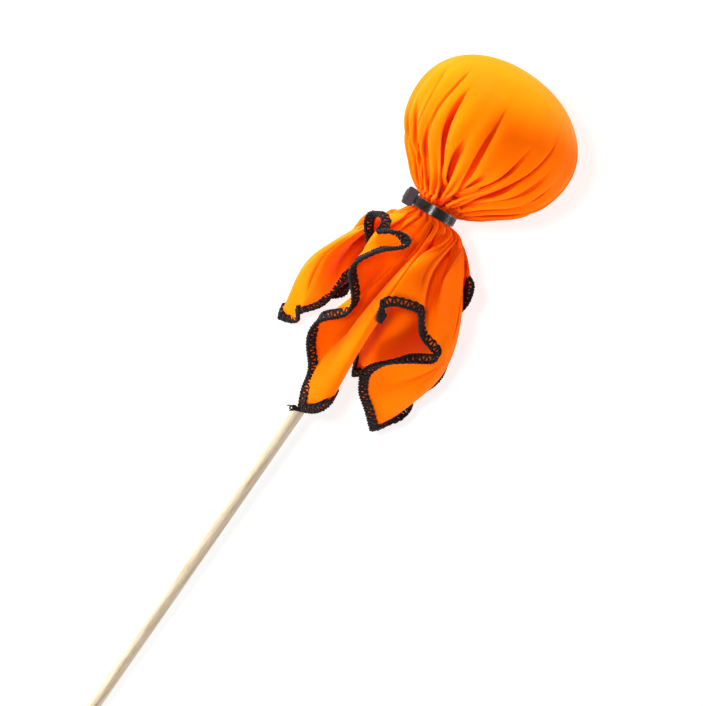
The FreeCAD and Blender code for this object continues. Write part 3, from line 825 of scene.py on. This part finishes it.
def build_cloth():
    """One mesh: a fan at the head's top, then the head, the neck and the skirt down to the edge."""
    head, head_painted_shade = head_grid()
    skirt, skirt_painted_shade = skirt_grid()
    grid = np.concatenate([head[1:], neck_grid(), skirt])
    neck_painted_shade = pleat_valley_shade(NECK_STEEPNESS) + np.zeros((NECK_ROWS, 1))
    fold = np.concatenate([head_painted_shade[1:], neck_painted_shade, skirt_painted_shade])
    rows = len(grid)
    top = from_stick(np.array([HEAD_TOP]), np.array([0.0]), np.array([0.0]))
    points = np.concatenate([top, grid.reshape(-1, 3)])

    def index(r, c):
        return 1 + r * COLUMNS + c % COLUMNS

    faces = [(0, index(0, c), index(0, c + 1)) for c in range(COLUMNS)]
    for r in range(rows - 1):
        faces += [
            (index(r, c), index(r + 1, c), index(r + 1, c + 1), index(r, c + 1)) for c in range(COLUMNS)
        ]
    sheet = mesh_object("cloth_sheet", to_world(points), faces, CLOTH)
    flat_uv(sheet, rows)
    # painted fold shade on every point, read by the cloth's material
    shade = sheet.data.attributes.new("fold", "FLOAT", "POINT")
    shade.data.foreach_set("value", np.concatenate([[0.0], fold.ravel()]).astype(np.float32))
    thick = sheet.modifiers.new("thickness", "SOLIDIFY")
    thick.thickness = CLOTH_T * MM
    thick.offset = 0.0
    thick.use_even_offset = False
    return sheet, grid


def flat_uv(sheet, rows):
    """Where each corner of the mesh lies on the flat square, in metres."""
    from_side = TURN + math.pi / 4
    edge = SQUARE / 2 / np.maximum(np.abs(np.cos(from_side)), np.abs(np.sin(from_side)))
    inner_rows = HEAD_ROWS - 1 + NECK_ROWS
    radius = np.zeros((rows, COLUMNS))
    radius[:inner_rows] = (np.arange(1, inner_rows + 1) / inner_rows * FLAT_TO_TIE)[:, None]
    outer = np.arange(1, rows - inner_rows + 1) / (rows - inner_rows)
    radius[inner_rows:] = FLAT_TO_TIE + (edge - FLAT_TO_TIE)[None, :] * outer[:, None]
    flat = np.stack([radius * np.cos(TURN), radius * np.sin(TURN)], axis=-1).reshape(-1, 2) * MM
    flat = np.concatenate([[[0.0, 0.0]], flat])
    mesh = sheet.data
    layer = mesh.uv_layers.new(name="flat_cloth")
    corner = np.zeros(len(mesh.loops), np.int32)
    mesh.loops.foreach_get("vertex_index", corner)
    layer.data.foreach_set("uv", flat[corner].astype(np.float32).ravel())


# ---------------------------------------------------------------- the overlocked edge

STITCH = 3.0              # from one stitch to the next
HEM_BAND = 3.5            # from the cloth's edge to the needle's line
THREAD_R = 0.55           # the cord of loops along the edge
BAR_R = 0.56              # the looper threads across the band
NEEDLE_R = 0.42
NEEDLE_OUT = 0.7          # the needle thread's height over the cloth
TAIL_R = 0.4
PER_STITCH = 12           # places along every thread in one stitch
TAIL_AT_FRONT = (114.8, 0.6, 35.6)   # the cut ends at the corner that lies on the stick
TAIL_AT_RIGHT = (83.5, -43.0, 19.0)


def tube(points, radius, faces_so_far, sides=6, closed=False, flat=1.0, normals=None):
    """A tube along points, as mesh points and faces. flat squashes it along the given normals."""
    p = np.asarray(points, float)
    n = len(p)
    radius = np.broadcast_to(radius, (n,))
    if closed:
        tangent = np.roll(p, -1, axis=0) - np.roll(p, 1, axis=0)
    else:
        tangent = np.gradient(p, axis=0)
    tangent = unit(tangent)
    up = np.array([0.0, 0.0, 1.0]) + 0 * p if normals is None else normals
    side = unit(np.cross(tangent, up))
    up = np.cross(side, tangent)
    angle = np.linspace(0, 2 * math.pi, sides, endpoint=False)
    ring = (
        side[:, None, :] * np.cos(angle)[None, :, None]
        + up[:, None, :] * np.sin(angle)[None, :, None] * flat
    )
    points_out = (p[:, None, :] + ring * radius[:, None, None]).reshape(-1, 3)
    faces = []
    spans = n if closed else n - 1
    for i in range(spans):
        j = (i + 1) % n
        for k in range(sides):
            m = (k + 1) % sides
            faces.append((faces_so_far + i * sides + k, faces_so_far + i * sides + m,
                          faces_so_far + j * sides + m, faces_so_far + j * sides + k))
    if not closed:
        faces.append(tuple(faces_so_far + k for k in range(sides))[::-1])
        faces.append(tuple(faces_so_far + (n - 1) * sides + k for k in range(sides)))
    return points_out, faces


class Hem:
    """The cloth's edge with, at every place, the way in over the cloth and the way out of its face."""

    def __init__(self, grid):
        edge, inner = grid[-1], grid[-6]
        closed = np.concatenate([edge, edge[:1]])
        self.step = distances(closed)
        self.length = self.step[-1]
        self.edge = closed
        inward = inner - edge
        along = unit(np.roll(edge, -1, axis=0) - np.roll(edge, 1, axis=0))
        inward = unit(inward - along * (inward * along).sum(axis=1, keepdims=True))
        self.inward = self.evened(inward)
        self.normal = self.evened(np.cross(along, inward))

    def evened(self, vectors):
        for _ in range(EVEN_ROUNDS):
            vectors = (np.roll(vectors, 1, axis=0) + 2 * vectors + np.roll(vectors, -1, axis=0)) / 4
        vectors = unit(vectors)
        return np.concatenate([vectors, vectors[:1]])

    def at(self, distance, inward, out):
        """Points at a distance round the edge, in over the cloth and out of its face."""
        over = self.pick(self.inward, distance) * inward[:, None]
        return self.pick(self.edge, distance) + over + self.facing(distance) * out[:, None]

    def facing(self, distance):
        return self.pick(self.normal, distance)

    def pick(self, values, distance):
        d = np.mod(distance, self.length)
        return np.stack([np.interp(d, self.step, values[:, k]) for k in range(3)], axis=-1)


def gather_tubes(name, tubes):
    """One mesh of several tubes. Each tube is made with the number of points that come before it."""
    points, faces = [], []
    count = 0
    for make in tubes:
        p, f = make(count)
        points.append(p)
        faces += f
        count += len(p)
    return mesh_object(name, to_world(np.concatenate(points)), faces, THREAD)


def tuft(count, where, seed):
    """Short curled ends where the threads were cut."""
    rng = np.random.default_rng(seed)
    tubes = []
    share = np.linspace(0, 1, 9)[:, None]
    for _ in range(count):
        reach = np.array([rng.uniform(0.5, 2.5), rng.uniform(2.0, 5.0), rng.uniform(-1.0, 1.5)])
        curl = rng.uniform(-1.6, 1.6, 3) * np.sin(math.pi * share)
        path = np.array(where) + rng.uniform(-0.7, 0.7, 3) + reach * share + curl
        tubes.append(lambda n, p=path: tube(p, TAIL_R * (1.1 - 0.5 * share[:, 0]), n))
    return tubes


def build_hem(grid):
    """Needle thread, upper looper and lower looper, each as its own piece."""
    hem = Hem(grid)
    stitches = int(round(hem.length / STITCH))
    pitch = hem.length / stitches
    fine = np.linspace(0, hem.length, stitches * PER_STITCH, endpoint=False)
    phase = 2 * math.pi * fine / pitch

    def cord(shift, inward, wave_in, wave_out, lift, radius):
        """A thread along the edge that swings in and out once in every stitch."""
        inn = inward + wave_in * np.sin(phase + shift)
        out = lift + wave_out * np.cos(phase + shift)
        path = hem.at(fine, inn, out)
        return lambda count: tube(path, radius, count, closed=True, normals=hem.facing(fine))

    def zigzag(face, shift):
        """The looper thread on one face, from the edge to the needle's line and back in every stitch."""
        wave = phase + shift
        inn = HEM_BAND * (0.5 - 0.52 * np.cos(wave))
        out = face * (0.35 + 0.5 * np.sin(wave / 2 % math.pi) ** 0.6 + 0.1 * np.sin(phase / 7.0))
        along = fine + 0.1 * pitch * np.sin(phase / 5.0)
        radius = BAR_R * (1.0 + 0.12 * np.sin(phase / 3.0 + shift))
        path = hem.at(along, inn, out)
        facing = hem.facing(fine)
        return lambda count: tube(path, radius, count, sides=7, closed=True, normals=facing, flat=0.8)

    needle = [cord(turn, HEM_BAND, 0.3, 0.15, NEEDLE_OUT, NEEDLE_R) for turn in (0.0, math.pi)]
    upper = [cord(0.0, -0.1, 0.5, 0.55, 0.1, THREAD_R), zigzag(1, 0.0)]
    lower = [cord(math.pi, -0.1, 0.5, 0.55, -0.1, THREAD_R), zigzag(-1, math.pi)]
    lower.append(cord(1.0, HEM_BAND, 0.25, 0.15, -0.6, 0.4))      # under the needle's line
    upper += tuft(7, TAIL_AT_FRONT, 4) + tuft(4, TAIL_AT_RIGHT, 9)
    pieces = {
        "hem_needle_stitches": (needle, "hem_needle_thread"),
        "hem_upper_loops": (upper, "hem_upper_looper"),
        "hem_lower_loops": (lower, "hem_lower_looper"),
    }
    made = []
    for name, (tubes, node) in pieces.items():
        piece = gather_tubes(name, tubes)
        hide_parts(node)
        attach(piece, "devil_stick")
        made.append(piece)
    return made


# ---------------------------------------------------------------- stuffing

FILLING_IN = 7.0          # the filling stays this far inside the head's outline, clear of its creases
FILLING_TIE_IN = 5.0      # and this much further near the tie
FILLING_TIE = (34.0, 14.0)
FILLING_SHARE = 0.9       # its length, as a share of the outline's
FILLING_LOWEST = 3.0
FILLING_COLUMNS = 64


def build_stuffing():
    """The lumpy ball of filling inside the head's cloth."""
    along, radius = head_outline(30)
    along, radius = along[2:-2], radius[2:-2]
    radius = radius - FILLING_IN - FILLING_TIE_IN * smooth(*FILLING_TIE, along)
    turn = np.linspace(0, 2 * math.pi, FILLING_COLUMNS, endpoint=False)
    a = WIDEST + (along[:, None] - WIDEST) * FILLING_SHARE + 0 * turn
    lump = 0.8 * np.sin(4 * turn + 0.11 * along[:, None]) + 0.6 * np.sin(7 * turn - 0.17 * along[:, None])
    r = radius[:, None] + lump
    grid = from_stick(a, HEAD_SHIFT - r * np.sin(turn)[None, :], r * np.cos(turn)[None, :])
    grid[..., 2] = np.maximum(grid[..., 2], FILLING_LOWEST)
    rows, columns = grid.shape[:2]
    ends = from_stick(np.array([a[0, 0] + 0.5, a[-1, 0] - 0.5]), np.zeros(2), np.zeros(2))
    points = np.concatenate([grid.reshape(-1, 3), ends])
    first, last = rows * columns, rows * columns + 1
    faces = []
    for c in range(columns):
        d = (c + 1) % columns
        faces.append((first, c, d))
        faces.append((last, (rows - 1) * columns + d, (rows - 1) * columns + c))
        faces += [(r0 * columns + c, (r0 + 1) * columns + c, (r0 + 1) * columns + d, r0 * columns + d)
                  for r0 in range(rows - 1)]
    ball = mesh_object("stuffing_ball", to_world(points), faces, FILLING)
    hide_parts("stuffing")
    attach(ball, "devil_stick")
    return ball


# ---------------------------------------------------------------- camera, floor and light

PICTURE_WIDE = 337.44             # millimetres of the object across the picture
CAMERA_HEIGHT = 1.55              # over the object, in metres
CAMERA_BACK = 78.1                # middle of the picture, from the tie
CAMERA_LEFT = -5.0
STICK_TURN = math.radians(34.81)  # the stick leans this much to the right of upright


def build_camera():
    data = bpy.data.cameras.new("camera")
    data.sensor_width = 36.0
    middle = axis_height(CAMERA_BACK) * MM
    data.lens = data.sensor_width * CAMERA_HEIGHT / (PICTURE_WIDE * MM)
    cam = bpy.data.objects.new("camera", data)
    bpy.context.collection.objects.link(cam)
    cam.location = (NECK_X - CAMERA_BACK * MM, CAMERA_LEFT * MM, middle + CAMERA_HEIGHT)
    cam.rotation_euler = (0.0, 0.0, STICK_TURN - math.pi / 2)
    data.clip_end = 10.0
    bpy.context.scene.camera = cam


def area_light(name, place, size, power):
    data = bpy.data.lights.new(name, "AREA")
    data.shape = "DISK"
    data.size = size
    data.energy = power
    light = bpy.data.objects.new(name, data)
    bpy.context.collection.objects.link(light)
    light.location = place
    aim = Vector((NECK_X, 0, 0.03)) - Vector(place)
    light.rotation_euler = aim.to_track_quat("-Z", "Y").to_euler()
    return light


# name, way out on the floor (towards the head, towards the lock box's side), height and size in metres,
# power in watts
LIGHTS = [
    ("key", (1.0, 0.66), 0.13, 0.4, 40.0),
    ("side", (-0.80, 0.80), 0.17, 0.4, 22.0),
    ("foot", (-1.15, -0.10), 0.30, 0.4, 10.0),
    ("rim", (0.30, -1.10), 0.10, 0.4, 7.0),
    ("top", (-0.06, 0.28), 1.25, 0.2, 5.5),
]
LIT_FLOOR = "top"         # the only light that reaches the floor, so that it stays plain
HORIZON = 0.7             # strength of the white surround level with the floor, and high up
ZENITH = 0.08
SURROUND_HIGH = 0.9       # sine of the angle from which it stays at that
FLOOR_HALF = 3.0          # metres
FLOOR_BELOW = 0.0002      # the floor lies this far under the part's surface
FLOOR_CORNERS = (-1, -1), (1, -1), (1, 1), (-1, 1)
FLOOR_BASE = (0.57, 0.60, 0.60)     # a little cool, against the orange that the cloth throws on it
FLOOR_GLOW = 0.77         # lifts the floor to the white of a lit backdrop


def build_stage():
    """A white floor, low lights round the object, one light overhead, and a surround that dims upwards."""
    n = Nodes("studio_floor")
    n.set(Base_Color=(*FLOOR_BASE, 1.0), Roughness=0.9)
    n.set(Emission_Color=(1.0, 1.0, 1.0, 1.0), Emission_Strength=FLOOR_GLOW)
    corners = [(x * FLOOR_HALF, y * FLOOR_HALF, -FLOOR_BELOW) for x, y in FLOOR_CORNERS]
    floor = mesh_object("floor", corners, [(0, 1, 2, 3)], n.material)
    unlit = bpy.data.collections.new("unlit_by_low_lights")
    unlit.objects.link(floor)
    unlit.collection_objects[0].light_linking.link_state = "EXCLUDE"
    middle = Vector((NECK_X - 0.03, 0, 0.04))
    for name, out, height, size, power in LIGHTS:
        light = area_light(name, middle + Vector((*out, height)), size, power)
        if name != LIT_FLOOR:
            light.light_linking.receiver_collection = unlit
    world = bpy.data.worlds.new("surround")
    world.use_nodes = True
    tree = world.node_tree
    where = tree.nodes.new("ShaderNodeTexCoord")
    parts = tree.nodes.new("ShaderNodeSeparateXYZ")
    fade = tree.nodes.new("ShaderNodeMapRange")
    fade.inputs["From Min"].default_value = 0.0
    fade.inputs["From Max"].default_value = SURROUND_HIGH
    fade.inputs["To Min"].default_value = HORIZON
    fade.inputs["To Max"].default_value = ZENITH
    tree.links.new(where.outputs["Generated"], parts.inputs["Vector"])
    tree.links.new(parts.outputs["Z"], fade.inputs["Value"])
    tree.links.new(fade.outputs["Result"], tree.nodes["Background"].inputs["Strength"])
    tree.nodes["Background"].inputs["Color"].default_value = (1, 1, 1, 1)
    bpy.context.scene.world = world
    bpy.context.scene.view_settings.view_transform = "Standard"
    bpy.context.scene.view_settings.look = "None"


# ---------------------------------------------------------------- putting it together

def finish_node(node, material):
    mesh = frame["nodes"][node].data
    mesh.materials.clear()
    mesh.materials.append(material)


build_camera()
build_stage()

cloth, cloth_grid = build_cloth()
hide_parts("cloth_head", "cloth_neck", "cloth_skirt")
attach(cloth, "devil_stick")

threads = build_hem(cloth_grid)
build_stuffing()

finish_node("stick", WOOD)
finish_node("tie_strap", STRAP_NYLON)
finish_node("tie_head", BOX_NYLON)
finish_node("tie_pawl", BOX_NYLON)
